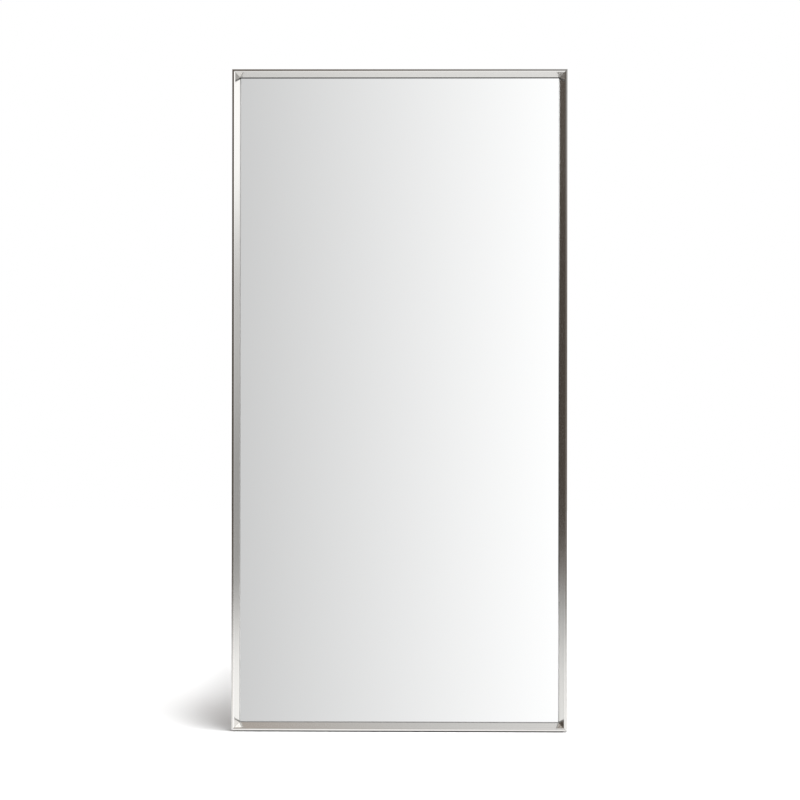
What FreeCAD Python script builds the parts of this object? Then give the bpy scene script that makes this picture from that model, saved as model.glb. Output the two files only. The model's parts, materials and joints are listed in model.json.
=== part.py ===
import FreeCAD, Part
import math
import os

# Full-length mirror: silvered glass in a mitred frame of extruded aluminium.
# Millimetres, +Z up, the mirror faces -Y. The origin is on the floor, in the middle of
# the whole object's footprint.
#
# Every side is built as if it were the bottom rail: X runs along the rail, Y back from
# the front land, Z inwards from the outer face. It is then turned into its place.

# Frame outside
frame_width = 914.0
frame_height = 1803.0

# Extruded section
wall = 1.8
edge_radius = 0.8
front_land = 5.2
chamfer_width = 2.6
chamfer_depth = 1.5
splay_width = 12.2
recess_depth = 18.5
rear_width = 24.0
lip_width = 7.0
slot_depth = 5.1

# Glazing stack, front to back, and the soft pieces round its edge
gasket_thickness = 1.5
gasket_reveal = 2.6
gasket_lip_radius = 1.1
glass_thickness = 5.0
glass_arris = 0.5
board_thickness = 3.0
spring_space = 3.0
edge_clearance = 3.0
setting_block_length = 80.0
edge_spacer_length = 50.0
edge_spacer_inset = 150.0

# Bowed springs that press the stack forward
spring_length = 70.0
spring_width = 20.0
spring_sheet = 0.6
spring_grip = 11.0
spring_clearance = 0.05
springs_per_stile = 4
springs_per_rail = 2

# Corner keys, shims and set screws inside the T-slot
key_leg = 75.0
key_clearance = 0.4
key_gap = 0.6
shim_thickness = 1.5
set_screw_radius = 2.5
set_screw_length = 4.8
set_screw_first = 30.0
set_screw_pitch = 28.0
set_screw_socket = 2.5
set_screw_socket_depth = 2.0
thread_clearance = 0.05

# Hangers: folded straps, D-rings, slot nuts and pan screws
hanger_drop = 400.0
strap_width = 13.0
strap_sheet = 1.0
strap_end_margin = 7.0
strap_corner_radius = 3.0
wire_radius = 1.6
wire_sides = 12
pin_clearance = 0.08
ring_side_clearance = 1.1
ring_bend_radius = 2.5
ring_side_drop = 5.0
ring_bend_chords = 6
ring_bow_chords = 20
ring_rest_gap = 0.6
hanger_screw_radius = 2.0
hanger_screw_head_radius = 3.75
hanger_screw_head_height = 2.4
hanger_screw_gap = 1.1
hanger_screw_pitch = 14.0
hanger_screw_end = 1.0
strap_hole_clearance = 0.25
slot_nut_thickness = 3.0
slot_nut_length = 36.0
slot_nut_clearance = 0.4

# Rubber: wall bumpers plugged into the slot, and foot pads under the bottom rail
bumper_radius = 10.0
bumper_margin = 0.7
bumper_plug_clearance = 0.1
bumper_key_gap = 20.0
pad_length = 80.0
pad_width = 30.0
pad_thickness = 3.0
pad_inset = 120.0
pad_corner_radius = 4.0

# Depths from the front land
ledge_back = recess_depth + wall
glass_front = ledge_back + gasket_thickness
glass_back = glass_front + glass_thickness
board_back = glass_back + board_thickness
web_front = board_back + spring_space
slot_floor = web_front + wall
lip_front = slot_floor + slot_depth
frame_depth = lip_front + wall
shim_back = slot_floor + shim_thickness
key_front = shim_back + key_gap

# Distances in from the outer face
chamfer_edge = front_land + chamfer_width
sight_edge = chamfer_edge + splay_width
glass_edge = wall + edge_clearance
slot_middle = rear_width / 2
slot_far_wall = rear_width - wall
slot_half_opening = slot_middle - lip_width
key_outer = wall + key_clearance
key_inner = slot_far_wall - key_clearance

# Hanger sizes, measured from the hinge axis of the D-ring
strap_thickness = 2 * strap_sheet
loop_bore = wire_radius + pin_clearance
loop_radius = loop_bore + strap_sheet
ring_axis_back = frame_depth + loop_radius
ring_half_width = strap_width / 2 + ring_side_clearance + ring_bend_radius
ring_drop = ring_side_drop + ring_half_width
ring_stand_off = strap_thickness + ring_rest_gap + wire_radius - loop_radius
ring_tilt = math.degrees(math.asin(ring_stand_off / ring_drop))
first_screw_drop = ring_drop + wire_radius + hanger_screw_gap + hanger_screw_head_radius
screw_drops = [first_screw_drop, first_screw_drop + hanger_screw_pitch]
strap_length = screw_drops[-1] + strap_end_margin
hanger_projection = loop_radius + ring_stand_off + wire_radius

# Overall places
bumper_height = hanger_projection + bumper_margin
overall_depth = frame_depth + bumper_height
front_y = -overall_depth / 2
frame_bottom = pad_thickness
frame_top = frame_bottom + frame_height
frame_middle = frame_bottom + frame_height / 2
hanger_x = frame_width / 2 - slot_middle
hanger_z = frame_top - hanger_drop
bumper_inset = key_leg + bumper_key_gap + bumper_radius

# Outer edges and corners in the order of their quarter turns about Y, with each side's length
SIDES = {
    "bottom": (0, frame_bottom, frame_width),
    "left": (-frame_width / 2, frame_middle, frame_height),
    "top": (0, frame_top, frame_width),
    "right": (frame_width / 2, frame_middle, frame_height),
}
CORNERS = {
    "bottom_left": (-frame_width / 2, frame_bottom),
    "top_left": (-frame_width / 2, frame_top),
    "top_right": (frame_width / 2, frame_top),
    "bottom_right": (frame_width / 2, frame_bottom),
}


def vec(along, back, inward):
    return FreeCAD.Vector(along, back, inward)


def turn_to(shape, quarters, x, z):
    placed = shape.copy()
    placed.rotate(vec(0, 0, 0), vec(0, 1, 0), 90 * quarters)
    placed.translate(vec(x, front_y, z))
    return placed


def to_side(shape, side):
    x, z, length = SIDES[side]
    return turn_to(shape, list(SIDES).index(side), x, z)


def to_corner(shape, corner):
    x, z = CORNERS[corner]
    return turn_to(shape, list(CORNERS).index(corner), x, z)


def block(along, back, inward):
    """Box between the two limits given for each direction."""
    size = [high - low for low, high in (along, back, inward)]
    return Part.makeBox(*size, vec(along[0], back[0], inward[0]))


def round_bar(radius, back, along=0, inward=0):
    """Cylinder running back from one depth to another."""
    return Part.makeCylinder(radius, back[1] - back[0], vec(along, back[0], inward), vec(0, 1, 0))


def plate(points, back):
    """Plate with an outline in (along, inward), from one depth to another."""
    outline = [vec(along, back[0], inward) for along, inward in points]
    face = Part.Face(Part.makePolygon(outline + outline[:1]))
    return face.extrude(vec(0, back[1] - back[0], 0))


def mitred(shape, length):
    """Trim a side piece to the 45 degree planes through the outer corners."""
    spare = rear_width
    half = length / 2
    triangle = [(-half - spare, -spare), (half + spare, -spare), (0, half)]
    return shape.common(plate(triangle, (-spare, frame_depth + spare)))


def section_point(inward, back):
    return vec(0, back, inward)


def section_chamber():
    """Hollow behind the land and the splayed wall, one wall thickness inside them."""
    splay_depth = recess_depth - chamfer_depth
    lean = splay_width / splay_depth
    wall_across = wall * math.hypot(splay_width, splay_depth) / splay_depth
    front_corner = chamfer_edge + (wall - chamfer_depth) * lean - wall_across
    corners = [
        section_point(wall, wall),
        section_point(front_corner, wall),
        section_point(sight_edge - wall_across, recess_depth),
        section_point(wall, recess_depth),
    ]
    return Part.Face(Part.makePolygon(corners + corners[:1]))


def section_outline():
    """Closed outline of the extrusion, from the land round to the rear lips and back."""
    swing = edge_radius * (1 - math.sqrt(0.5))
    front_edge = Part.Arc(
        section_point(0, edge_radius),
        section_point(swing, swing),
        section_point(edge_radius, 0),
    )
    far_lip = rear_width - lip_width
    corners = [
        section_point(edge_radius, 0),
        section_point(front_land, 0),
        section_point(chamfer_edge, chamfer_depth),
        section_point(sight_edge, recess_depth),
        section_point(sight_edge, ledge_back),
        section_point(wall, ledge_back),
        section_point(wall, web_front),
        section_point(rear_width, web_front),
        section_point(rear_width, frame_depth),
        section_point(far_lip, frame_depth),
        section_point(far_lip, lip_front),
        section_point(slot_far_wall, lip_front),
        section_point(slot_far_wall, slot_floor),
        section_point(wall, slot_floor),
        section_point(wall, lip_front),
        section_point(lip_width, lip_front),
        section_point(lip_width, frame_depth),
        section_point(0, frame_depth),
        section_point(0, edge_radius),
    ]
    return Part.Face(Part.Wire([front_edge.toShape()] + Part.makePolygon(corners).Edges))


def drawn_out(face, length):
    """Section drawn out along a side, with room at both ends for the mitres."""
    run = length + 2 * rear_width
    bar = face.extrude(vec(run, 0, 0))
    bar.translate(vec(-run / 2, 0, 0))
    return bar


def frame_side(length):
    """One rail or stile: the hollow section drawn out and mitred at both ends."""
    bar = drawn_out(section_outline(), length).cut(drawn_out(section_chamber(), length))
    return mitred(bar, length)


def gasket_section():
    """Strip between the ledge and the glass, with a rounded lip past the sight edge."""
    reach = sight_edge + gasket_reveal
    lip_start = reach - gasket_lip_radius
    lip_end = ledge_back + gasket_lip_radius
    swing = gasket_lip_radius * (1 - math.sqrt(0.5))
    lip = Part.Arc(
        section_point(lip_start, ledge_back),
        section_point(reach - swing, ledge_back + swing),
        section_point(reach, lip_end),
    )
    corners = [
        section_point(reach, lip_end),
        section_point(reach, glass_front),
        section_point(glass_edge, glass_front),
        section_point(glass_edge, ledge_back),
        section_point(lip_start, ledge_back),
    ]
    return Part.Face(Part.Wire([lip.toShape()] + Part.makePolygon(corners).Edges))


def gasket_side(length):
    return mitred(drawn_out(gasket_section(), length), length)


def glazing_sheet(back):
    half = frame_width / 2 - glass_edge
    rise = (glass_edge, frame_height - glass_edge)
    return to_side(block((-half, half), back, rise), "bottom")


def mirror_pane():
    pane = glazing_sheet((glass_front, glass_back))
    return pane.makeChamfer(glass_arris, pane.Edges)


def glass_edge_blocks(side, length, places):
    """Soft blocks that fill the clearance between the frame wall and the glass."""
    half = length / 2
    depth = (glass_front, board_back)
    seat = (wall, glass_edge)
    return [to_side(block((x - half, x + half), depth, seat), side) for x in places]


def pressure_spring(along):
    """Bowed strip: both ends on the board, the crown under the web of the section."""
    half = spring_length / 2
    low = board_back + spring_clearance
    high = web_front - spring_clearance
    start = rear_width - spring_grip

    def bow(shift, crown):
        ends = [vec(along + end, low + shift, start) for end in (-half, half)]
        return Part.Arc(ends[0], vec(along, crown, start), ends[1]).toShape()

    front = bow(0, high - spring_sheet)
    rear = bow(spring_sheet, high)
    tips = [
        Part.makeLine(front.Vertexes[end].Point, rear.Vertexes[end].Point)
        for end in (0, 1)
    ]
    face = Part.Face(Part.Wire([front, tips[1], rear, tips[0]]))
    return face.extrude(vec(0, 0, spring_width))


def pressure_springs():
    springs = []
    for side, (x, z, length) in SIDES.items():
        count = springs_per_rail if side in ("bottom", "top") else springs_per_stile
        for index in range(count):
            along = length * ((index + 0.5) / count - 0.5)
            springs.append(to_side(pressure_spring(along), side))
    return springs


def corner_screw_places():
    drops = [set_screw_first, set_screw_first + set_screw_pitch]
    return [(d, slot_middle) for d in drops] + [(slot_middle, d) for d in drops]


def corner_angle(back):
    """L-shaped plate that lies in the T-slots of two sides."""
    outline = [
        (key_outer, key_outer),
        (key_leg, key_outer),
        (key_leg, key_inner),
        (key_inner, key_inner),
        (key_inner, key_leg),
        (key_outer, key_leg),
    ]
    return plate(outline, back)


def corner_key():
    """Tapped angle against the lips: its screws bear on the shim and lock the mitre."""
    depth = (key_front, lip_front)
    key = corner_angle(depth)
    for along, inward in corner_screw_places():
        key = key.cut(round_bar(set_screw_radius + thread_clearance, depth, along, inward))
    return key


def set_screw(along, inward):
    end = shim_back + set_screw_length
    screw = round_bar(set_screw_radius, (shim_back, end), along, inward)
    reach = set_screw_socket / math.sqrt(3)
    turns = [math.radians(60 * step) for step in range(6)]
    hexagon = [(along + reach * math.cos(t), inward + reach * math.sin(t)) for t in turns]
    return screw.cut(plate(hexagon, (end - set_screw_socket_depth, end)))


def to_hanger(shape, hand):
    """Place a hanger piece built round the hinge axis, at the middle of a stile."""
    placed = shape.copy()
    placed.translate(vec(hand * hanger_x, front_y, hanger_z))
    return placed


def hinge_cylinder(radius):
    return Part.makeCylinder(
        radius, strap_width, vec(-strap_width / 2, ring_axis_back, 0), vec(1, 0, 0)
    )


def hanger_strap():
    """Sheet folded double round the D-ring's pin and flat on the lips below it."""
    half = strap_width / 2
    tail = block((-half, half), (frame_depth, frame_depth + strap_thickness), (-strap_length, 0))
    ends = [
        edge for edge in tail.Edges
        if all(abs(corner.Z + strap_length) < wall / 2 for corner in edge.Vertexes)
        and abs(edge.Vertexes[0].Y - edge.Vertexes[1].Y) > strap_sheet
    ]
    tail = tail.makeFillet(strap_corner_radius, ends)
    strap = tail.fuse(hinge_cylinder(loop_radius)).cut(hinge_cylinder(loop_bore))
    hole = hanger_screw_radius + strap_hole_clearance
    for drop in screw_drops:
        strap = strap.cut(round_bar(hole, (frame_depth, frame_depth + strap_thickness), 0, -drop))
    return strap.removeSplitter()


def ring_path():
    """Centreline of the D-ring, hanging straight down from its pin, its bends in short chords."""
    half = ring_half_width
    bend = ring_bend_radius
    swing = bend * (1 - math.sqrt(0.5))
    pin_end = half - bend

    def at(along, drop):
        return vec(along, 0, -drop)

    bends = [
        Part.Arc(at(pin_end, 0), at(half - swing, swing), at(half, bend)),
        Part.Arc(at(half, ring_side_drop), at(0, ring_drop), at(-half, ring_side_drop)),
        Part.Arc(at(-half, bend), at(-half + swing, swing), at(-pin_end, 0)),
    ]
    chords = [ring_bend_chords, ring_bow_chords, ring_bend_chords]
    points = []
    for arc, count in zip(bends, chords):
        points += arc.toShape().discretize(count + 1)
    return Part.makePolygon(points + points[:1])


def d_ring():
    """Ring of bent wire, faceted, leaning off the strap by the height of its own wire."""
    path = ring_path()
    first = path.Edges[0]
    start = first.valueAt(first.FirstParameter)
    wire = Part.makeCircle(wire_radius, start, first.tangentAt(first.FirstParameter))
    section = Part.makePolygon(wire.discretize(wire_sides + 1))
    mitred_joints = 1
    ring = path.makePipeShell([section], True, False, mitred_joints)
    ring.rotate(vec(0, 0, 0), vec(1, 0, 0), ring_tilt)
    ring.translate(vec(0, ring_axis_back, 0))
    return ring


def slot_nut():
    """Tapped bar inside the T-slot that the strap's screws pull against the lips."""
    half = slot_middle - wall - slot_nut_clearance
    middle = -sum(screw_drops) / len(screw_drops)
    depth = (lip_front - slot_nut_thickness, lip_front)
    rise = (middle - slot_nut_length / 2, middle + slot_nut_length / 2)
    nut = block((-half, half), depth, rise)
    for drop in screw_drops:
        nut = nut.cut(round_bar(hanger_screw_radius + thread_clearance, depth, 0, -drop))
    return nut


def hanger_screw(drop):
    seat = frame_depth + strap_thickness
    top = seat + hanger_screw_head_height
    end = lip_front - slot_nut_thickness - hanger_screw_end
    head = round_bar(hanger_screw_head_radius, (seat, top), 0, -drop)
    return head.fuse(round_bar(hanger_screw_radius, (end, seat), 0, -drop)).removeSplitter()


def wall_bumper(along):
    """Rubber button on the lips, with a square plug pushed into the mouth of the slot."""
    button = round_bar(bumper_radius, (frame_depth, frame_depth + bumper_height), along, slot_middle)
    half = slot_half_opening - bumper_plug_clearance
    mouth = (slot_middle - half, slot_middle + half)
    plug = block((along - half, along + half), (lip_front, frame_depth), mouth)
    return button.fuse(plug).removeSplitter()


def foot_pad(hand):
    """Flat rubber foot under the bottom rail, in line with the weight of the glass."""
    middle = hand * (frame_width / 2 - pad_inset)
    depth_middle = (glass_front + glass_back) / 2
    along = (middle - pad_length / 2, middle + pad_length / 2)
    depth = (depth_middle - pad_width / 2, depth_middle + pad_width / 2)
    pad = block(along, depth, (-pad_thickness, 0))
    uprights = [edge for edge in pad.Edges if edge.BoundBox.ZLength > pad_thickness / 2]
    return to_side(pad.makeFillet(pad_corner_radius, uprights), "bottom")


def build():
    nodes = {}
    frame_names = {
        "top": "top_rail",
        "bottom": "bottom_rail",
        "left": "left_stile",
        "right": "right_stile",
    }
    for side, (x, z, length) in SIDES.items():
        nodes[frame_names[side]] = to_side(frame_side(length), side)
        nodes[side + "_gasket"] = to_side(gasket_side(length), side)

    nodes["mirror_pane"] = mirror_pane()
    nodes["backing_board"] = glazing_sheet((glass_back, board_back))
    quarter_points = (-frame_width / 4, frame_width / 4)
    blocks = glass_edge_blocks("bottom", setting_block_length, quarter_points)
    nodes["setting_blocks"] = Part.makeCompound(blocks)
    spacer_end = frame_height / 2 - edge_spacer_inset
    spacers = []
    for side in ("left", "right"):
        spacers += glass_edge_blocks(side, edge_spacer_length, (-spacer_end, spacer_end))
    nodes["edge_spacers"] = Part.makeCompound(spacers)
    nodes["pressure_springs"] = Part.makeCompound(pressure_springs())

    set_screws = []
    for corner in CORNERS:
        nodes["corner_key_" + corner] = to_corner(corner_key(), corner)
        shim = corner_angle((slot_floor, shim_back))
        nodes["corner_shim_" + corner] = to_corner(shim, corner)
        set_screws += [to_corner(set_screw(*spot), corner) for spot in corner_screw_places()]
    nodes["corner_set_screws"] = Part.makeCompound(set_screws)

    hanger_screws = []
    for name, hand in (("left", -1), ("right", 1)):
        nodes[name + "_hanger_strap"] = to_hanger(hanger_strap(), hand)
        nodes[name + "_d_ring"] = to_hanger(d_ring(), hand)
        nodes[name + "_slot_nut"] = to_hanger(slot_nut(), hand)
        hanger_screws += [to_hanger(hanger_screw(drop), hand) for drop in screw_drops]
        nodes[name + "_foot_pad"] = foot_pad(hand)
        bumper_end = frame_height / 2 - bumper_inset
        downwards = -hand
        for level, along in (("top", -bumper_end), ("bottom", bumper_end)):
            bumper = to_side(wall_bumper(downwards * along), name)
            nodes["wall_bumper_" + level + "_" + name] = bumper
    nodes["hanger_screws"] = Part.makeCompound(hanger_screws)
    return nodes


os.makedirs("parts", exist_ok=True)
for node, shape in build().items():
    shape.exportStep("parts/" + node + ".step")
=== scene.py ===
import json
import math

import bmesh
import bpy
from mathutils import Matrix, Vector


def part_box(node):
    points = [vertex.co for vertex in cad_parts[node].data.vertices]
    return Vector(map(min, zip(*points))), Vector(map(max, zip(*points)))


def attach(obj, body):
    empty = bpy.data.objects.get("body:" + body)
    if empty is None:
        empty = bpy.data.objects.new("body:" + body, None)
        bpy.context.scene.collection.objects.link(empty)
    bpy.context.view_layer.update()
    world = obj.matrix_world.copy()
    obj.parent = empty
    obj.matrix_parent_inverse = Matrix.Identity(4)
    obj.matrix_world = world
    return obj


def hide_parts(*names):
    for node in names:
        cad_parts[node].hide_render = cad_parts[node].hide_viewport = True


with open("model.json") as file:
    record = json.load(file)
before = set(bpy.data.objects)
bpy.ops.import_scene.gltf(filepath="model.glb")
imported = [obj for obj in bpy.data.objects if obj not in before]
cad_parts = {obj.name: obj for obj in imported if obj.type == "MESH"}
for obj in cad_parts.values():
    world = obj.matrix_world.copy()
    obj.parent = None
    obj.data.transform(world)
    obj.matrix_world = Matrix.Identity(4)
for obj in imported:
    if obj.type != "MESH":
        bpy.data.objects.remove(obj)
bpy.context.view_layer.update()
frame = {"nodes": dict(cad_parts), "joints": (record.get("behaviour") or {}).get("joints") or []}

MM = 0.001
X, Y, Z = range(3)
QUARTER = math.pi / 2
WELD = 0.001 * MM


# Sizes that the frame gives

def span(node, axis):
    low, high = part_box(node)
    return low[axis], high[axis]


left, right = span("left_stile", X)[0], span("right_stile", X)[1]
bottom, top = span("left_stile", Z)
front, rear = span("left_stile", Y)
frame_middle = (bottom + top) / 2
rail_length = right - left
stile_length = top - bottom
frame_depth = rear - front
rear_width = span("left_stile", X)[1] - left

# Depths back from the front land
wall = span("setting_blocks", Z)[0] - bottom
ledge_back = span("left_gasket", Y)[0] - front
recess_depth = ledge_back - wall
glass_front = span("mirror_pane", Y)[0] - front
board_back = span("backing_board", Y)[1] - front
slot_floor = span("corner_shim_top_left", Y)[0] - front
shim_back = span("corner_shim_top_left", Y)[1] - front
web_front = slot_floor - wall
key_front, lip_front = (y - front for y in span("corner_key_top_left", Y))
screw_back = span("corner_set_screws", Y)[1] - front

# Distances in from the outer face
glass_edge = span("mirror_pane", X)[0] - left
gasket_reach = span("left_gasket", X)[1] - left
key_outer = span("corner_key_top_left", X)[0] - left
key_leg = span("corner_key_top_left", X)[1] - left
key_inner = rear_width - key_outer
slot_middle = rear_width / 2

# Sizes of the section that no box shows
edge_radius = 0.8 * MM
front_land = 5.2 * MM
chamfer_width = 2.6 * MM
chamfer_depth = 1.5 * MM
splay_width = 12.2 * MM
lip_width = 7.0 * MM
corner_round = 0.3 * MM
mitre_gap = 0.05 * MM
chamfer_edge = front_land + chamfer_width
sight_edge = chamfer_edge + splay_width

# Quarter turns about Y, and the place of the outer edge or corner
SIDES = {
    "bottom": (0, 0, bottom),
    "left": (1, left, frame_middle),
    "top": (2, 0, top),
    "right": (3, right, frame_middle),
}
CORNERS = {
    "bottom_left": (0, left, bottom),
    "top_left": (1, left, top),
    "top_right": (2, right, top),
    "bottom_right": (3, right, bottom),
}
UPRIGHTS = ("left", "right")
LENGTHS = {side: stile_length if side in UPRIGHTS else rail_length for side in SIDES}


# Shader maths

class Wire:
    """One output of a node. Arithmetic on wires adds Math nodes to their paint."""

    def __init__(self, paint, socket):
        self.paint = paint
        self.socket = socket

    def out(self, name):
        return Wire(self.paint, self.socket.node.outputs[name])

    def maths(self, operation, *values):
        inputs = dict(enumerate(values))
        return self.paint.node("ShaderNodeMath", {"operation": operation}, inputs)

    def __add__(self, other):
        return self.maths("ADD", self, other)

    def __radd__(self, other):
        return self.maths("ADD", other, self)

    def __sub__(self, other):
        return self.maths("SUBTRACT", self, other)

    def __rsub__(self, other):
        return self.maths("SUBTRACT", other, self)

    def __mul__(self, other):
        return self.maths("MULTIPLY", self, other)

    def __rmul__(self, other):
        return self.maths("MULTIPLY", other, self)

    def __truediv__(self, other):
        return self.maths("DIVIDE", self, other)

    def __pow__(self, other):
        return self.maths("POWER", self, other)

    def __abs__(self):
        return self.maths("ABSOLUTE", self)

    def __lt__(self, other):
        return self.maths("LESS_THAN", self, other)

    def __gt__(self, other):
        return self.maths("GREATER_THAN", self, other)

    def sine(self):
        return self.maths("SINE", self)

    def least(self, other):
        return self.maths("MINIMUM", self, other)

    def most(self, other):
        return self.maths("MAXIMUM", self, other)

    def ease(self, start, end):
        """0 before start, 1 after end, with a smooth rise between them."""
        return self.paint.node(
            "ShaderNodeMapRange",
            {"interpolation_type": "SMOOTHSTEP"},
            {"Value": self, "From Min": start, "From Max": end},
        )

    def toward(self, other, share):
        return self + (other - self) * share


class Paint:
    """The node tree of a finish or of the studio round the object."""

    def __init__(self, tree):
        self.tree = tree
        tree.nodes.clear()

    def node(self, kind, settings=None, inputs=None, output=0):
        made = self.tree.nodes.new(kind)
        for name, value in (settings or {}).items():
            setattr(made, name, value)
        for name, value in (inputs or {}).items():
            if isinstance(value, Wire):
                self.tree.links.new(value.socket, made.inputs[name])
            else:
                made.inputs[name].default_value = value
        return Wire(self, made.outputs[output]) if made.outputs else None

    def place(self):
        return self.node("ShaderNodeTexCoord", output="Object")

    def axes(self, vector, names="XYZ"):
        parts = self.node("ShaderNodeSeparateXYZ", inputs={"Vector": vector})
        return [parts.out(name) for name in names]

    def noise(self, place, scale, detail=3.0, stretch=(1, 1, 1)):
        turned = self.node("ShaderNodeMapping", inputs={"Vector": place, "Scale": stretch})
        inputs = {"Vector": turned, "Scale": scale, "Detail": detail}
        return self.node("ShaderNodeTexNoise", inputs=inputs)

    def tint(self, share, low, high):
        """Colour between two colours."""
        inputs = {0: share, 6: (*low, 1) if isinstance(low, tuple) else low}
        inputs[7] = (*high, 1) if isinstance(high, tuple) else high
        return self.node("ShaderNodeMix", {"data_type": "RGBA"}, inputs, output=2)

    def bump(self, height, strength, distance):
        inputs = {"Height": height, "Strength": strength, "Distance": distance}
        return self.node("ShaderNodeBump", inputs=inputs)

    def surface(self, **inputs):
        named = {name.replace("_", " "): value for name, value in inputs.items()}
        return self.node("ShaderNodeBsdfPrincipled", inputs=named)

    def show(self, shader, kind="ShaderNodeOutputMaterial"):
        self.node(kind, inputs={"Surface": shader})


def finish(name, recipe, *values):
    """A material whose nodes are laid by its recipe."""
    material = bpy.data.materials.new(name)
    material.use_nodes = True
    paint = Paint(material.node_tree)
    paint.show(recipe(paint, *values))
    return material


# Finishes

def brushed_metal(paint, along):
    """Nickel tone, brushed fine along the bar, with a bright-cut chamfer and thin mitre lines."""
    place = paint.place()
    x, y, z = paint.axes(place)
    from_side = rail_length / 2 - abs(x)
    from_end = (z - bottom).least(top - z)
    inward = from_end if along == X else from_side

    stretch = [1.0, 1.0, 1.0]
    stretch[along] = 0.004
    hairs = paint.noise(place, 2600, 2.0, stretch)
    streaks = paint.noise(place, 420, 3.0, stretch)
    hand_marks = paint.noise(place, 11, 4.0)
    cut = (inward > front_land) * (inward < chamfer_edge) * (y < front + chamfer_depth + MM)
    seam = 1 - abs(from_side - from_end).ease(0.1 * MM, 0.6 * MM)
    edge = 1 - inward.ease(0.0, 1.2 * MM)

    dull = (0.64, 0.625, 0.60)
    bright = (0.80, 0.79, 0.77)
    joint_line = (0.10, 0.095, 0.09)
    metal = paint.tint(hairs * 0.55 + streaks * 0.45, dull, bright)
    metal = paint.tint(cut * 0.6, metal, bright)
    metal = paint.tint(seam * 0.6, metal, joint_line)
    rough = 0.06 + hairs * 0.05 + hand_marks * 0.03 - cut * 0.02 - edge * 0.02
    grain = paint.bump(hairs + streaks * 0.5, 0.12, 0.02 * MM)
    return paint.surface(Base_Color=metal, Metallic=1.0, Roughness=rough, Normal=grain)


def silvered_glass(paint):
    """Mirror face: sharp silver with the faintest dust."""
    place = paint.place()
    tone = paint.tint(paint.noise(place, 3, 2.0), (0.945, 0.95, 0.95), (0.95, 0.955, 0.955))
    silver = paint.surface(Base_Color=tone, Metallic=1.0, Roughness=0.0)
    dust = paint.surface(Base_Color=(0.7, 0.7, 0.68, 1), Roughness=1.0)
    specks = paint.noise(place, 900, 1.0).ease(0.74, 0.80) * 0.05
    return paint.node("ShaderNodeMixShader", inputs={0: specks, 1: silver, 2: dust})


def ground_glass(paint):
    """Arrissed edge of the pane: pale green, satin ground."""
    grain = paint.noise(paint.place(), 1500, 2.0)
    green = paint.tint(grain, (0.30, 0.42, 0.37), (0.44, 0.56, 0.50))
    return paint.surface(Base_Color=green, Roughness=0.35 + grain * 0.25, Coat_Weight=0.3)


def mirror_paint(paint):
    """Grey protective paint over the silver."""
    rolled = paint.noise(paint.place(), 260, 4.0)
    grey = paint.tint(rolled, (0.17, 0.18, 0.18), (0.24, 0.25, 0.25))
    skin = paint.bump(rolled, 0.2, 0.05 * MM)
    return paint.surface(Base_Color=grey, Roughness=0.5 + rolled * 0.2, Normal=skin)


def pressed_board(paint):
    """Brown hardboard: matted fibres with the print of the press screen."""
    place = paint.place()
    x, z = paint.axes(place, "XZ")
    fibres = paint.noise(place, 700, 5.0, (1.0, 1.0, 0.45))
    clouds = paint.noise(place, 9, 4.0)
    flecks = paint.noise(place, 1900, 1.0).ease(0.62, 0.72)
    mesh_step = 2.2 * MM
    waves = 4 * QUARTER / mesh_step
    screen = (x * waves).sine() * (z * waves).sine()
    brown = paint.tint(fibres * 0.6 + clouds * 0.4, (0.24, 0.145, 0.080), (0.42, 0.275, 0.165))
    brown = paint.tint(flecks * 0.35, brown, (0.56, 0.42, 0.28))
    skin = paint.bump(screen * 0.5 + fibres, 0.35, 0.12 * MM)
    return paint.surface(Base_Color=brown, Roughness=0.62 + clouds * 0.2, Normal=skin)


def soft_rubber(paint, dark, pale, worn):
    """Moulded or extruded rubber: matt, finely pitted, with dusty patches."""
    place = paint.place()
    pits = paint.noise(place, 2400, 2.0)
    dust = paint.noise(place, 60, 4.0).ease(0.45, 0.8)
    black = paint.tint(dust * worn, dark, pale)
    skin = paint.bump(pits, 0.25, 0.04 * MM)
    return paint.surface(Base_Color=black, Roughness=0.62 + pits * 0.25, Normal=skin)


def strip_rubber(paint):
    """Extruded strip: pale grey with dust patches, and painted shade where it lies in shadow: darker
    along the bottom, on the upper left side and the middle of the right side, and dark under the top
    rail."""
    place = paint.place()
    x, z = paint.axes(place, "XZ")
    height = (z - bottom) / stile_length
    pits = paint.noise(place, 2400, 2.0)
    patches = paint.noise(place, 60, 4.0)
    # Painted shade: the share toward pale is lowered along the bottom, on the sides and under the
    # top rail, where the strip lies in shadow.
    right_side_shade = height.ease(0.14, 0.26) * (1 - height.ease(0.50, 0.83))
    painted_strip_shade = (0.45 * height.ease(0.10, 0.30)).toward(right_side_shade, x > 0)
    painted_strip_shade = painted_strip_shade.most(height.ease(0.984, 0.988))
    bottom_shade_factor = 0.45 + 0.55 * height.ease(0.011, 0.016)
    # Share of pale: the painted shade above, plus real dust patches.
    dust = bottom_shade_factor * (1 - painted_strip_shade) + patches * 0.1 - 0.05
    bare_rubber_and_shade = (0.045, 0.045, 0.044)
    pale_dust_and_light = (0.78, 0.78, 0.77)
    grey = paint.tint(dust, bare_rubber_and_shade, pale_dust_and_light)
    skin = paint.bump(pits, 0.25, 0.04 * MM)
    return paint.surface(Base_Color=grey, Roughness=0.38 + pits * 0.2, Normal=skin)


def plated_steel(paint, low, high, rough):
    """Plated sheet or wire: cloudy plating with fine rolling marks."""
    place = paint.place()
    clouds = paint.noise(place, 130, 4.0)
    rolled = paint.noise(place, 1600, 2.0, (1.0, 1.0, 0.08))
    metal = paint.tint(clouds, low, high)
    gloss = rough + clouds * 0.12 + rolled * 0.08
    skin = paint.bump(rolled, 0.12, 0.02 * MM)
    return paint.surface(Base_Color=metal, Metallic=1.0, Roughness=gloss, Normal=skin)


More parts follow.
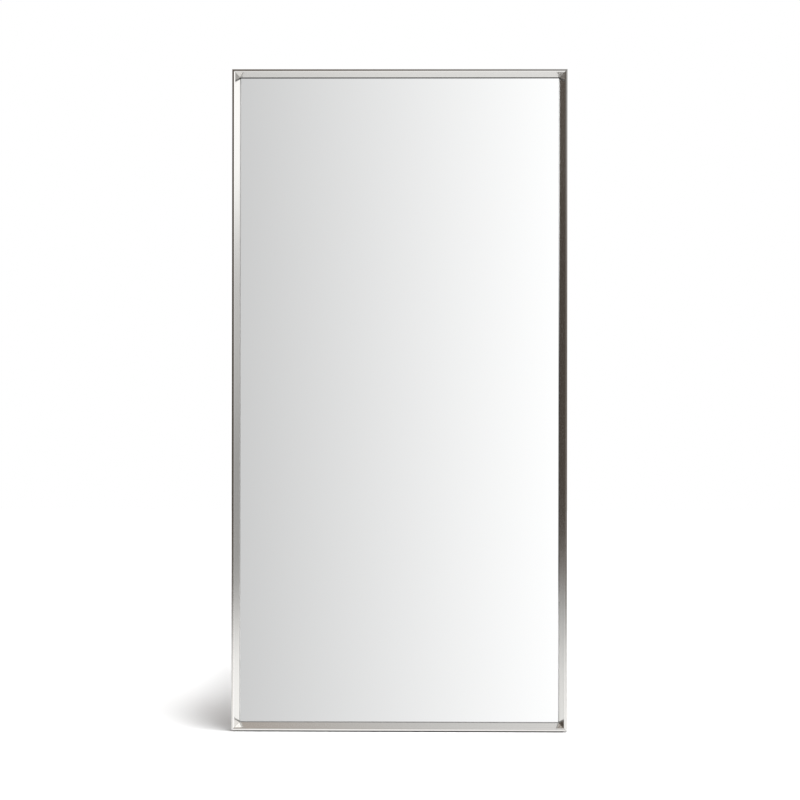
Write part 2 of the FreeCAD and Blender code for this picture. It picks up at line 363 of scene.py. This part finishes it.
RAIL_METAL = finish("brushed_rail", brushed_metal, X)
STILE_METAL = finish("brushed_stile", brushed_metal, Z)
SILVER = finish("silvered_glass", silvered_glass)
GLASS_EDGE = finish("ground_glass_edge", ground_glass)
MIRROR_PAINT = finish("mirror_back_paint", mirror_paint)
BOARD = finish("pressed_hardboard", pressed_board)
GASKET = finish("gasket_rubber", strip_rubber)
FOOT = finish("moulded_rubber", soft_rubber, (0.022, 0.022, 0.022), (0.085, 0.082, 0.078), 0.6)
BLOCK = finish("edge_block_rubber", soft_rubber, (0.11, 0.11, 0.11), (0.20, 0.20, 0.19), 0.5)
ZINC = finish("zinc_plate", plated_steel, (0.56, 0.58, 0.60), (0.70, 0.69, 0.64), 0.26)
SPRING = finish("spring_steel", plated_steel, (0.30, 0.31, 0.33), (0.44, 0.43, 0.42), 0.24)
NICKEL = finish("nickel_wire", plated_steel, (0.66, 0.64, 0.60), (0.76, 0.74, 0.70), 0.10)
BRIGHT = finish("bright_zinc", plated_steel, (0.66, 0.67, 0.68), (0.78, 0.77, 0.74), 0.18)
OXIDE = finish("black_oxide", plated_steel, (0.05, 0.05, 0.055), (0.11, 0.11, 0.115), 0.34)


# Mesh work

ROUND_STEPS = 4
SHARP_ANGLE = math.radians(40)
SMOOTH_ANGLE = math.radians(35)


def corners_of(made):
    return [item for item in made["geom"] if isinstance(item, bmesh.types.BMVert)]


def open_edges(bm):
    return [edge for edge in bm.edges if edge.is_boundary]


def closed_run(bm, points):
    """Edges through the points and back to the first."""
    verts = [bm.verts.new(point) for point in points]
    return [bm.edges.new((verts[i - 1], verts[i])) for i in range(len(verts))]


def loop(bm, points):
    """Closed loop of edges through (point, rounding) corners."""
    verts = [bm.verts.new(point) for point, rounding in points]
    bm.faces.new(verts)
    for size in sorted({rounding for point, rounding in points if rounding}):
        chosen = [vert for vert, (point, rounding) in zip(verts, points) if rounding == size]
        bmesh.ops.bevel(
            bm, geom=chosen, offset=size, offset_type="OFFSET", segments=ROUND_STEPS,
            profile=0.5, affect="VERTICES", material=-1,
        )
    bmesh.ops.delete(bm, geom=bm.faces[:], context="FACES_ONLY")


def fill(bm, edges):
    bmesh.ops.triangle_fill(bm, use_beauty=True, use_dissolve=False, edges=edges)


def thicken(bm, step):
    """Fill the loops drawn so far and draw them out into a solid."""
    fill(bm, bm.edges[:])
    made = bmesh.ops.extrude_face_region(bm, geom=bm.faces[:])
    bmesh.ops.translate(bm, verts=corners_of(made), vec=step)


def soften(bm, width, segments=2):
    """Break every sharp edge."""
    sharp = [edge for edge in bm.edges if edge.calc_face_angle(0) > SHARP_ANGLE]
    bmesh.ops.bevel(
        bm, geom=sharp, offset=width, offset_type="OFFSET", segments=segments,
        profile=0.5, affect="EDGES", material=-1, clamp_overlap=True,
    )


def run(bm, edges, step):
    """Draw a loop of edges out by a straight step and return its new end."""
    made = bmesh.ops.extrude_edge_only(bm, edges=edges)
    fresh = corners_of(made)
    bmesh.ops.translate(bm, verts=fresh, vec=step)
    fresh = set(fresh)
    ends = [item for item in made["geom"] if isinstance(item, bmesh.types.BMEdge)]
    return [edge for edge in ends if set(edge.verts) <= fresh]


def swing(bm, edges, centre, axis, angle, steps):
    """Draw a loop of edges round a bend and return its new end."""
    made = bmesh.ops.spin(
        bm, geom=edges, cent=centre, axis=axis, angle=angle, steps=steps, use_merge=False
    )
    return [item for item in made["geom_last"] if isinstance(item, bmesh.types.BMEdge)]


def lathe(points, sides):
    """Solid of revolution about Y through (radius, back) points."""
    bm = bmesh.new()
    verts = [bm.verts.new((radius, back, 0)) for radius, back in points]
    for pair in zip(verts, verts[1:]):
        bm.edges.new(pair)
    bmesh.ops.spin(
        bm, geom=bm.edges[:], cent=(0, 0, 0), axis=(0, 1, 0), angle=4 * QUARTER,
        steps=sides, use_merge=True,
    )
    bmesh.ops.remove_doubles(bm, verts=bm.verts[:], dist=WELD)
    return bm


def ring_of_edges(bm, radius, sides, place):
    """Circle of edges that faces along Y."""
    before = set(bm.edges)
    facing = place @ Matrix.Rotation(QUARTER, 4, "X")
    bmesh.ops.create_circle(bm, cap_ends=False, radius=radius, segments=sides, matrix=facing)
    return [edge for edge in bm.edges if edge not in before]


def stamp(bm, pattern, places):
    """Add a copy of the pattern at each place."""
    for place in places:
        copy = bpy.data.meshes.new("copy")
        pattern.to_mesh(copy)
        copy.transform(place)
        bm.from_mesh(copy)
        bpy.data.meshes.remove(copy)
    pattern.free()
    return bm


def piece(name, bm, finishes, nodes, body="frame"):
    """Make the mesh an object that stands for its CAD nodes and moves with their body."""
    bmesh.ops.remove_doubles(bm, verts=bm.verts[:], dist=WELD)
    bmesh.ops.recalc_face_normals(bm, faces=bm.faces[:])
    mesh = bpy.data.meshes.new(name)
    bm.to_mesh(mesh)
    bm.free()
    mesh.shade_smooth()
    mesh.set_sharp_from_angle(angle=SMOOTH_ANGLE)
    for material in finishes:
        mesh.materials.append(material)
    made = bpy.data.objects.new(name, mesh)
    bpy.context.scene.collection.objects.link(made)
    flats = made.modifiers.new("flat_faces", "WEIGHTED_NORMAL")
    flats.keep_sharp = True
    flats.weight = 100
    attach(made, body)
    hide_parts(*nodes)
    return made


def seated(place):
    """Turn and shift from the bottom side or the bottom left corner to another one."""
    turns, x, z = place
    return Matrix.Translation((x, front, z)) @ Matrix.Rotation(turns * QUARTER, 4, "Y")


# Frame and glazing. A side is made as the bottom one: X along, Y back, Z inwards.

def section_loops():
    """Outline and chamber of the extruded section, as (inward, back, rounding)."""
    far_lip = rear_width - lip_width
    far_wall = rear_width - wall
    small = corner_round
    outline = [
        (0, 0, edge_radius), (front_land, 0, small), (chamfer_edge, chamfer_depth, small),
        (sight_edge, recess_depth, small), (sight_edge, ledge_back, small), (wall, ledge_back, 0),
        (wall, web_front, 0), (rear_width, web_front, small), (rear_width, frame_depth, small),
        (far_lip, frame_depth, small), (far_lip, lip_front, small), (far_wall, lip_front, 0),
        (far_wall, slot_floor, 0), (wall, slot_floor, 0), (wall, lip_front, 0),
        (lip_width, lip_front, small), (lip_width, frame_depth, small), (0, frame_depth, small),
    ]
    splay_depth = recess_depth - chamfer_depth
    lean = splay_width / splay_depth
    across = wall * math.hypot(splay_width, splay_depth) / splay_depth
    chamber = [
        (wall, wall, 0), (chamfer_edge + (wall - chamfer_depth) * lean - across, wall, 0),
        (sight_edge - across, recess_depth, 0), (wall, recess_depth, 0),
    ]
    return outline, chamber


def mitred_bar(loops, length):
    """Draw a section out along X and cut both ends at 45 degrees."""
    bm = bmesh.new()
    reach = length / 2 + rear_width
    for points in loops:
        loop(bm, [((-reach, back, inward), rounding) for inward, back, rounding in points])
    thicken(bm, (2 * reach, 0, 0))
    for hand in (-1, 1):
        everything = bm.verts[:] + bm.edges[:] + bm.faces[:]
        cut = bmesh.ops.bisect_plane(
            bm, geom=everything, plane_co=(hand * (length / 2 - mitre_gap), 0, 0),
            plane_no=(hand, 0, 1), clear_outer=True,
        )
        fill(bm, [item for item in cut["geom_cut"] if isinstance(item, bmesh.types.BMEdge)])
    return bm


def gasket_loop():
    lip = 1.1 * MM
    return [
        (glass_edge, ledge_back, 0), (gasket_reach, ledge_back, lip),
        (gasket_reach, glass_front, 0), (glass_edge, glass_front, 0),
    ]


def frame_and_gaskets():
    for side, place in SIDES.items():
        upright = side in UPRIGHTS
        node = side + ("_stile" if upright else "_rail")
        bar = mitred_bar(section_loops(), LENGTHS[side])
        bar.transform(seated(place))
        metal = STILE_METAL if upright else RAIL_METAL
        piece(node + "_brushed", bar, [metal], [node])
        strip = mitred_bar([gasket_loop()], LENGTHS[side])
        strip.transform(seated(place))
        piece(side + "_gasket_strip", strip, [GASKET], [side + "_gasket"])


def slab(node, edge_width, segments):
    """Sheet the size of its CAD node with every edge eased."""
    low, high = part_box(node)
    bm = bmesh.new()
    bmesh.ops.create_cube(bm, size=1.0)
    bmesh.ops.scale(bm, vec=high - low, verts=bm.verts[:])
    bmesh.ops.translate(bm, vec=(low + high) / 2, verts=bm.verts[:])
    soften(bm, edge_width, segments)
    return bm


def mirror_pane():
    """Silver in front, ground edges and paint behind."""
    finishes = [SILVER, GLASS_EDGE, MIRROR_PAINT]
    arris = 0.5 * MM
    square_on = 0.9
    bm = slab("mirror_pane", arris, 1)
    bm.normal_update()
    for face in bm.faces:
        back = face.normal.y
        seen = SILVER if back < -square_on else MIRROR_PAINT if back > square_on else GLASS_EDGE
        face.material_index = finishes.index(seen)
    piece("mirror_pane_silvered", bm, finishes, ["mirror_pane"])


def backing_board():
    eased_edge = 0.4 * MM
    bm = slab("backing_board", eased_edge, 2)
    piece("backing_board_pressed", bm, [BOARD], ["backing_board"])


def pressure_springs():
    """Bowed strips: the crown under the web, both tips on the board."""
    length = 70 * MM
    width = 20 * MM
    sheet = 0.6 * MM
    grip = 11 * MM
    slack = 0.05 * MM
    tip_round = 3 * MM
    tip_zone = 0.2 * MM
    rise = web_front - board_back - sheet - 2 * slack
    radius = (length * length / 4 + rise * rise) / (2 * rise)
    half_angle = math.asin(length / 2 / radius)
    crown = web_front - slack
    start = rear_width - grip
    end = start + width

    pattern = bmesh.new()
    tip = [(crown - sheet, start), (crown, start), (crown, end), (crown - sheet, end)]
    face = pattern.faces.new([pattern.verts.new((0, back, inward)) for back, inward in tip])
    centre = (0, crown - radius, 0)
    pivot = Matrix.Rotation(half_angle, 3, "Z")
    bmesh.ops.rotate(pattern, cent=centre, matrix=pivot, verts=pattern.verts[:])
    bmesh.ops.spin(
        pattern, geom=[face, *face.edges, *face.verts], cent=centre, axis=(0, 0, 1),
        angle=-2 * half_angle, steps=16, use_merge=False,
    )
    tip_corners = [
        edge for edge in pattern.edges
        if abs(abs(edge.verts[0].co.x) - length / 2) < tip_zone and edge.calc_length() < 2 * sheet
    ]
    bmesh.ops.bevel(
        pattern, geom=tip_corners, offset=tip_round, offset_type="OFFSET", segments=ROUND_STEPS,
        profile=0.5, affect="EDGES", material=-1,
    )
    places = []
    for side, place in SIDES.items():
        count = 4 if side in UPRIGHTS else 2
        for index in range(count):
            along = LENGTHS[side] * ((index + 0.5) / count - 0.5)
            places.append(seated(place) @ Matrix.Translation((along, 0, 0)))
    springs = stamp(bmesh.new(), pattern, places)
    piece("pressure_springs_bowed", springs, [SPRING], ["pressure_springs"])


# Corner keys and their screws

SCREW_RADIUS = 2.5 * MM
THREAD_GAP = 0.05 * MM
STEEL_EDGE = 0.25 * MM
SCREW_DROPS = [30 * MM, 58 * MM]
SCREW_SPOTS = [(d, slot_middle) for d in SCREW_DROPS] + [(slot_middle, d) for d in SCREW_DROPS]


def corner_keys():
    outline = [
        (key_outer, key_outer), (key_leg, key_outer), (key_leg, key_inner),
        (key_inner, key_inner), (key_inner, key_leg), (key_outer, key_leg),
    ]
    key_round = 0.6 * MM
    for corner, place in CORNERS.items():
        bm = bmesh.new()
        loop(bm, [((along, key_front, inward), key_round) for along, inward in outline])
        for along, inward in SCREW_SPOTS:
            spot = Matrix.Translation((along, key_front, inward))
            ring_of_edges(bm, SCREW_RADIUS + THREAD_GAP, sides=28, place=spot)
        thicken(bm, (0, lip_front - key_front, 0))
        soften(bm, STEEL_EDGE)
        bm.transform(seated(place))
        node = "corner_key_" + corner
        piece(node + "_plated", bm, [ZINC], [node])


def set_screw():
    """Grub screw that faces back: chamfered rim, hexagon socket and a cup point."""
    socket_depth = 2.0 * MM
    socket_flats = 2.5 * MM
    rim = 0.35 * MM
    profile = [
        (0, shim_back + rim), (SCREW_RADIUS * 0.5, shim_back), (SCREW_RADIUS, shim_back + rim),
        (SCREW_RADIUS, screw_back - rim), (SCREW_RADIUS - rim, screw_back),
    ]
    bm = lathe(profile, sides=32)
    mouth = open_edges(bm)
    face = Matrix.Translation((0, screw_back, 0))
    socket = ring_of_edges(bm, socket_flats / math.sqrt(3), sides=6, place=face)
    fill(bm, mouth + socket)
    fill(bm, run(bm, socket, (0, -socket_depth, 0)))
    return bm


def corner_set_screws():
    places = [
        seated(place) @ Matrix.Translation((along, 0, inward))
        for place in CORNERS.values() for along, inward in SCREW_SPOTS
    ]
    bm = stamp(bmesh.new(), set_screw(), places)
    piece("corner_set_screws_socketed", bm, [OXIDE], ["corner_set_screws"])


# Hangers, made round the hinge axis of the D-ring

WIRE_RADIUS = 1.6 * MM
STRAP_SHEET = 1.0 * MM
STRAP_HOLE_GAP = 0.25 * MM
HINGES = {joint["child"]: Vector(joint["pos_m"]) for joint in frame["joints"]}
axis_back = HINGES["left_ring"].y - front
loop_radius = axis_back - frame_depth
loop_bore = loop_radius - STRAP_SHEET
HEAD_RADIUS = 3.75 * MM
HEAD_HEIGHT = 2.4 * MM
SHANK_RADIUS = 2.0 * MM
screw_levels = [
    span("hanger_screws", Z)[1] - HEAD_RADIUS - HINGES["left_ring"].z,
    span("hanger_screws", Z)[0] + HEAD_RADIUS - HINGES["left_ring"].z,
]


def strap_layer(half, tail, head, ahead):
    """One layer of the strap, open at its head, with a rounded tail and two screw holes."""
    bm = bmesh.new()
    round_tail = 3 * MM
    outline = [
        (-half, tail, round_tail), (half, tail, round_tail), (half, head, 0), (-half, head, 0),
    ]
    loop(bm, [((across, ahead, height), rounding) for across, height, rounding in outline])
    for level in screw_levels:
        spot = Matrix.Translation((0, ahead, level))
        ring_of_edges(bm, SHANK_RADIUS + STRAP_HOLE_GAP, sides=24, place=spot)
    thicken(bm, (0, STRAP_SHEET, 0))
    lid = [
        face for face in bm.faces if all(abs(vert.co.z - head) < WELD for vert in face.verts)
    ]
    bmesh.ops.delete(bm, geom=lid, context="FACES")
    return bm


def hanger_strap(side):
    """Sheet folded double: up the front, round the pin and down again behind itself."""
    node = side + "_hanger_strap"
    hinge = HINGES[side + "_ring"]
    low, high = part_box(node)
    half = (high.x - low.x) / 2
    tail = low.z - hinge.z
    layer_gap = 0.03 * MM
    behind = layer_gap - loop_bore
    # The loop goes on past its half turn, then runs straight to the head of the rear layer.
    sheet_middle = (loop_bore + loop_radius) / 2
    pinch_depth = 0.78
    pinch = math.acos(sheet_middle / loop_radius - pinch_depth)
    bm = strap_layer(half, tail, 0, -loop_radius)
    end = swing(bm, open_edges(bm), (0, 0, 0), (-1, 0, 0), 2 * QUARTER + pinch, steps=30)
    end = run(bm, end, (0, 0, 0))
    fresh = {vert for edge in end for vert in edge.verts}
    for rank, vert in enumerate(sorted(fresh, key=lambda vert: vert.co.y)):
        sheet_side = STRAP_SHEET if rank > 1 else 0
        vert.co = (vert.co.x, behind + sheet_side, -loop_radius)
    stamp(bm, strap_layer(half, tail, -loop_radius, behind), [Matrix.Identity(4)])
    bmesh.ops.remove_doubles(bm, verts=bm.verts[:], dist=WELD)
    bmesh.ops.recalc_face_normals(bm, faces=bm.faces[:])
    sheared_edge = 0.12 * MM
    soften(bm, sheared_edge, 1)
    bm.transform(Matrix.Translation(hinge))
    piece(node + "_folded", bm, [ZINC], [node])


def d_ring(side):
    """Round wire: pin, two bends, straight sides and a half-round bow."""
    node = side + "_d_ring"
    hinge = HINGES[side + "_ring"]
    low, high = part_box(node)
    half = (high.x - low.x) / 2 - WIRE_RADIUS
    bend = 2.5 * MM
    side_drop = 5.0 * MM
    pin_end = half - bend
    lean = math.asin((high.y - hinge.y - WIRE_RADIUS) / (side_drop + half))
    bend_axis = (0, 1, 0)
    bm = bmesh.new()
    facing = Matrix.Rotation(QUARTER, 4, "Y")
    bmesh.ops.create_circle(bm, cap_ends=False, radius=WIRE_RADIUS, segments=24, matrix=facing)
    end = run(bm, bm.edges[:], (pin_end, 0, 0))
    end = swing(bm, end, (pin_end, 0, -bend), bend_axis, QUARTER, steps=10)
    end = run(bm, end, (0, 0, bend - side_drop))
    end = swing(bm, end, (0, 0, -side_drop), bend_axis, 2 * QUARTER, steps=36)
    end = run(bm, end, (0, 0, side_drop - bend))
    end = swing(bm, end, (-pin_end, 0, -bend), bend_axis, QUARTER, steps=10)
    run(bm, end, (pin_end, 0, 0))
    bm.transform(Matrix.Translation(hinge) @ Matrix.Rotation(lean, 4, "X"))
    piece(node + "_wire", bm, [NICKEL], [node], body=side + "_ring")


def slot_nut(side):
    node = side + "_slot_nut"
    hinge = HINGES[side + "_ring"]
    low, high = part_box(node)
    nut_round = 0.8 * MM
    bm = bmesh.new()
    outline = [(low.x, low.z), (high.x, low.z), (high.x, high.z), (low.x, high.z)]
    loop(bm, [((x, low.y, z), nut_round) for x, z in outline])
    for level in screw_levels:
        spot = Matrix.Translation((hinge.x, low.y, hinge.z + level))
        ring_of_edges(bm, SHANK_RADIUS + THREAD_GAP, sides=24, place=spot)
    thicken(bm, (0, high.y - low.y, 0))
    soften(bm, STEEL_EDGE)
    piece(node + "_tapped", bm, [ZINC], [node])


def pan_screw():
    """Pan head with a cross recess, facing back, seated at Y = 0."""
    tip = span("hanger_screws", Y)[0] - span("hanger_screws", Y)[1] + HEAD_HEIGHT
    point = 0.5 * MM
    rim = 1.0 * MM
    flat = 2.5 * MM
    arm = 1.9 * MM
    slit = 0.42 * MM
    cross_depth = 1.3 * MM
    cross_taper = 0.62
    crown_steps = 6
    profile = [(0, tip), (SHANK_RADIUS - point, tip), (SHANK_RADIUS, tip + point), (SHANK_RADIUS, 0)]
    profile.append((HEAD_RADIUS, 0))
    for step in range(crown_steps + 1):
        angle = QUARTER * step / crown_steps
        reach = flat + (HEAD_RADIUS - flat) * math.cos(angle)
        profile.append((reach, rim + (HEAD_HEIGHT - rim) * math.sin(angle)))
    bm = lathe(profile, sides=36)
    mouth = open_edges(bm)
    cross = []
    for turn in range(4):
        spin = Matrix.Rotation(turn * QUARTER, 3, "Y")
        for along, across in ((slit, -slit), (arm, -slit), (arm, slit)):
            cross.append(spin @ Vector((along, HEAD_HEIGHT, -across)))
    recess = closed_run(bm, cross)
    fill(bm, mouth + recess)
    base = run(bm, recess, (0, -cross_depth, 0))
    base_corners = {vert for edge in base for vert in edge.verts}
    bmesh.ops.scale(bm, vec=(cross_taper, 1, cross_taper), verts=list(base_corners))
    fill(bm, base)
    return bm


def hanger_screws():
    seat = span("hanger_screws", Y)[1] - HEAD_HEIGHT
    screw_turns = (0.35, 1.1)
    places = [
        Matrix.Translation((hinge.x, seat, hinge.z + level)) @ Matrix.Rotation(turn, 4, "Y")
        for hinge in HINGES.values() for level, turn in zip(screw_levels, screw_turns)
    ]
    bm = stamp(bmesh.new(), pan_screw(), places)
    piece("hanger_screws_cross", bm, [BRIGHT], ["hanger_screws"])


# Rubber feet

def wall_bumper(level, side):
    """Moulded button with a dished face, and a square plug in the mouth of the slot."""
    node = f"wall_bumper_{level}_{side}"
    low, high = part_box(node)
    middle = (low + high) / 2
    radius = (high.x - low.x) / 2
    height = high.y - rear
    straight = height * 0.45
    taper = 0.8 * MM
    seat_ring = 1.5 * MM
    dish = 4.0 * MM
    dish_slope = 1.0 * MM
    dish_back = height - 0.7 * MM
    edge_round = 0.7 * MM
    plug_gap = 0.1 * MM
    profile = [
        (radius - seat_ring, 0), (radius, 0), (radius, straight), (radius - taper, height),
        (dish + dish_slope, height), (dish, dish_back), (0, dish_back),
    ]
    bm = lathe(profile, sides=48)
    soften(bm, edge_round, 3)
    mouth = open_edges(bm)
    plug = slot_middle - lip_width - plug_gap
    outline = [(-plug, 0, -plug), (plug, 0, -plug), (plug, 0, plug), (-plug, 0, plug)]
    neck = closed_run(bm, outline)
    fill(bm, mouth + neck)
    fill(bm, run(bm, neck, (0, lip_front - frame_depth, 0)))
    bm.transform(Matrix.Translation((middle.x, rear, middle.z)))
    piece(node + "_moulded", bm, [FOOT], [node])


def foot_pad(side):
    """Flat pad with eased edges and a stepped tread that meets the floor."""
    node = side + "_foot_pad"
    low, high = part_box(node)
    pad_round = 4.0 * MM
    step = 0.8 * MM
    tread_inset = 1.6 * MM
    eased_edge = 0.3 * MM
    bm = bmesh.new()
    outline = [(low.x, low.y), (high.x, low.y), (high.x, high.y), (low.x, high.y)]
    loop(bm, [((x, y, high.z), pad_round) for x, y in outline])
    thicken(bm, (0, 0, low.z + step - high.z))
    bm.normal_update()
    under = [face for face in bm.faces if abs(face.calc_center_median().z - low.z - step) < WELD]
    bmesh.ops.inset_region(bm, faces=under, thickness=tread_inset, use_even_offset=True)
    made = bmesh.ops.extrude_face_region(bm, geom=under)
    bmesh.ops.translate(bm, verts=corners_of(made), vec=(0, 0, -step))
    bmesh.ops.delete(bm, geom=[face for face in under if face.is_valid], context="FACES")
    soften(bm, eased_edge)
    piece(node + "_moulded", bm, [FOOT], [node])


def dress_hidden_nodes():
    """Pieces whose CAD shape is already right take a finish alone."""
    for node, made in frame["nodes"].items():
        if node in ("setting_blocks", "edge_spacers"):
            material = BLOCK
        elif node.startswith("corner_shim"):
            material = ZINC
        else:
            continue
        made.data.materials.clear()
        made.data.materials.append(material)


# Studio

CAMERA_DISTANCE = 6.0
CAMERA_ASIDE = 0.08
CAMERA_ROLL = 0.0014
PICTURE_PX = 800
FRAME_PX_WIDE = 335.55
FRAME_PX_LEFT_OF_MIDDLE = 0.65
SOFT_LIGHT = 0.28
LAMP_PLACE = Vector((1.05, -1.3, 4.25))
LAMP_AIM = Vector((0, 0, 0.5))
LAMP_SIZE = (2.9, 2.5)
LAMP_WATTS = 165
FLOOR_HALF = 12.0


def camera():
    """Almost square on, a little to the right, with the frame as wide as in the photograph."""
    data = bpy.data.cameras.new("camera")
    metres_per_px = rail_length / FRAME_PX_WIDE
    data.lens = data.sensor_width * CAMERA_DISTANCE / (PICTURE_PX * metres_per_px)
    made = bpy.data.objects.new("camera", data)
    across = CAMERA_ASIDE + FRAME_PX_LEFT_OF_MIDDLE * metres_per_px
    made.location = (across, front - CAMERA_DISTANCE, frame_middle)
    made.rotation_euler = (QUARTER, -CAMERA_ROLL, math.atan(CAMERA_ASIDE / CAMERA_DISTANCE))
    bpy.context.scene.collection.objects.link(made)
    bpy.context.scene.camera = made


def room_seen_by_metal(dx, dy, dz):
    """Brightness of the room along a ray: a dim front, a dark left side, a right side that brightens
    upwards, a grey ceiling that brightens to the right, and a white floor, grey far to the sides."""
    leftwards = (0 - dx).ease(0.25, 0.85)
    rightwards = dx.ease(0.25, 0.85)
    front_wall = 0.145 + 0.5 * dx.most(-0.1).least(0.1)
    front_wall = front_wall + (0.17 + dx).most(0).least(0.5) * dz.ease(0.02, 0.16)
    rear_wall = 0.60
    room = front_wall.toward(rear_wall, dy.ease(-0.05, 0.50))
    left_side = 0.088 + 0.04 * dz.ease(0.06, 0.14)
    room = room.toward(left_side, leftwards)
    right_side = 0.44 + 0.30 * dz.ease(-0.05, 0.06) + 0.70 * dz.ease(0.05, 0.11)
    right_side = right_side * (1 - 0.28 * dy.ease(-0.05, -0.01))
    room = room.toward(right_side, rightwards)
    aside = abs(dx).ease(0.10, 0.18)
    ceiling = (0.74 + 2.6 * dx).most(0.45).least(1.2) + 0.7 * dx.ease(0.10, 0.18)
    room = room.toward(ceiling, dz.ease(0.35, 1.0))
    steep = (0 - dz).ease(0.3, 0.95)
    white_floor = 1.20 + 0.12 * dx + (0.25 * aside + 2.0 * dx.least(0) - 0.18) * steep
    far_floor = 0.455 + 0.17 * dx
    near = (0 - dy).ease(0.08, 0.20).most((0 - dz).ease(0.4, 0.7))
    ahead = 1 - abs(dx).ease(0.25, 0.60)
    edge_start = 0.079 + 0.006 * ahead - 0.023 * leftwards
    edge = (0 - dz).ease(edge_start, edge_start + 0.043 + 0.038 * leftwards)
    return room.toward(far_floor.toward(white_floor, near), edge)


def studio_room():
    """White to the camera and plain soft light on matt pieces. Metal sees the room, and the
    sharp mirror sees a gradient in front of it, from grey on the left to white and back to pale
    grey far to the right."""
    world = bpy.data.worlds.new("studio")
    bpy.context.scene.world = world
    world.use_nodes = True
    paint = Paint(world.node_tree)
    ray = paint.node("ShaderNodeLightPath")
    way = paint.node("ShaderNodeTexCoord", output="Generated")
    dx, dy, dz = paint.axes(way)
    # The camera stands aside. The room is turned so that the object's middle mirrors its middle.
    dx = dx + CAMERA_ASIDE / CAMERA_DISTANCE
    room = room_seen_by_metal(dx, dy, dz)
    far_right = 0.80
    floor_ahead = 0.93
    gradient = (0.848 + 2.9 * dx).most(0.5).least(1.1).toward(far_right, dx.ease(0.14, 0.45))
    gradient = gradient.toward(floor_ahead, (0 - dz).ease(0.20, 0.34))
    facing = (0 - dy).ease(0.30, 0.50)
    seen = room.toward(gradient, facing * ray.out("Is Singular Ray"))
    warmth = (seen - 0.3 * dz.ease(0.35, 1.0)).ease(0.0, 0.5)
    tone = paint.tint(warmth, (1.0, 0.82, 0.68), (1.0, 1.0, 1.0))

    clear = ray.out("Is Camera Ray").most(ray.out("Is Transmission Ray"))
    glossy = ray.out("Is Glossy Ray")
    level = (SOFT_LIGHT + (seen - SOFT_LIGHT) * glossy).toward(1.0, clear)
    colour = paint.tint(glossy * (1 - clear), (1.0, 1.0, 1.0), tone)
    sky = paint.node("ShaderNodeBackground", inputs={"Color": colour, "Strength": level})
    paint.show(sky, "ShaderNodeOutputWorld")


def pale_floor(paint):
    """White floor that keeps the shadow near the object and clears to white further off, sooner
    at the sides than in front. Under the rail the floor is painted dark as shadow, but not at its
    ends."""
    place = paint.place()
    x, y = paint.axes(place, "XY")
    camera_ray = paint.node("ShaderNodeLightPath", output="Is Camera Ray")
    away = (x * x + y * y) ** 0.5
    beside = abs(x) - rail_length / 2
    mottle = paint.noise(place, 4, 3.0)
    chalk = paint.tint(mottle, (0.84, 0.84, 0.84), (0.86, 0.86, 0.86))
    chalk = paint.tint(camera_ray, chalk, (1.3, 1.3, 1.3))
    # Painted shadow: the floor under the rail is darkened, fading out at both ends.
    painted_rail_shadow = (x + rail_length / 2).ease(0.02, 0.085) * (rail_length / 2 - x).ease(0.003, 0.013)
    painted_rail_shadow = painted_rail_shadow * (abs(y - (front + rear) / 2) < frame_depth / 2)
    chalk = paint.tint(painted_rail_shadow, chalk, (0.16, 0.16, 0.16))
    matt = paint.node("ShaderNodeBsdfDiffuse", inputs={"Color": chalk})
    behind = 0.27 * away.ease(0.9, 1.9) + 0.44 * away.ease(1.5, 7.0)
    glow_level = behind.most(0.34 * beside.ease(0.03, 0.26)) * camera_ray
    glow_colour = paint.tint(glow_level, (0.0, 0.0, 0.0), (1.0, 1.0, 1.0))
    glow = paint.node("ShaderNodeEmission", inputs={"Color": glow_colour})
    return paint.node("ShaderNodeAddShader", inputs={0: matt, 1: glow})


def ground(name, half_wide, half_deep, middle, material):
    """Flat rectangle of floor."""
    bm = bmesh.new()
    bmesh.ops.create_grid(bm, x_segments=1, y_segments=1, size=1.0)
    bmesh.ops.scale(bm, vec=(half_wide, half_deep, 1), verts=bm.verts[:])
    bmesh.ops.translate(bm, vec=middle, verts=bm.verts[:])
    mesh = bpy.data.meshes.new(name)
    bm.to_mesh(mesh)
    bm.free()
    mesh.materials.append(material)
    made = bpy.data.objects.new(name, mesh)
    bpy.context.scene.collection.objects.link(made)
    return made


def floor():
    """Wide floor that metal sees as the room's white, and the strip below the rail with the floor's
    painted shadow.
    """
    material = finish("pale_floor", pale_floor)
    wide = ground("floor", FLOOR_HALF, FLOOR_HALF, (0, 0, 0), material)
    wide.visible_glossy = False
    spare = 5 * MM
    lift = 0.1 * MM
    middle = (0, (front + rear) / 2, lift)
    ground("floor_below_rail", rail_length / 2 + spare, frame_depth / 2 + spare, middle, material)


def key_lamp():
    """Large softbox high above, in front of the mirror and to its right."""
    data = bpy.data.lights.new("key", "AREA")
    data.shape = "RECTANGLE"
    data.size, data.size_y = LAMP_SIZE
    data.energy = LAMP_WATTS
    made = bpy.data.objects.new("key", data)
    made.location = LAMP_PLACE
    made.rotation_euler = (LAMP_AIM - LAMP_PLACE).to_track_quat("-Z", "Y").to_euler()
    made.visible_glossy = False
    bpy.context.scene.collection.objects.link(made)


frame_and_gaskets()
mirror_pane()
backing_board()
pressure_springs()
corner_keys()
corner_set_screws()
for hand in ("left", "right"):
    hanger_strap(hand)
    d_ring(hand)
    slot_nut(hand)
    foot_pad(hand)
    for level in ("top", "bottom"):
        wall_bumper(level, hand)
hanger_screws()
dress_hidden_nodes()

camera()
studio_room()
floor()
key_lamp()
bpy.context.scene.view_settings.view_transform = "Standard"
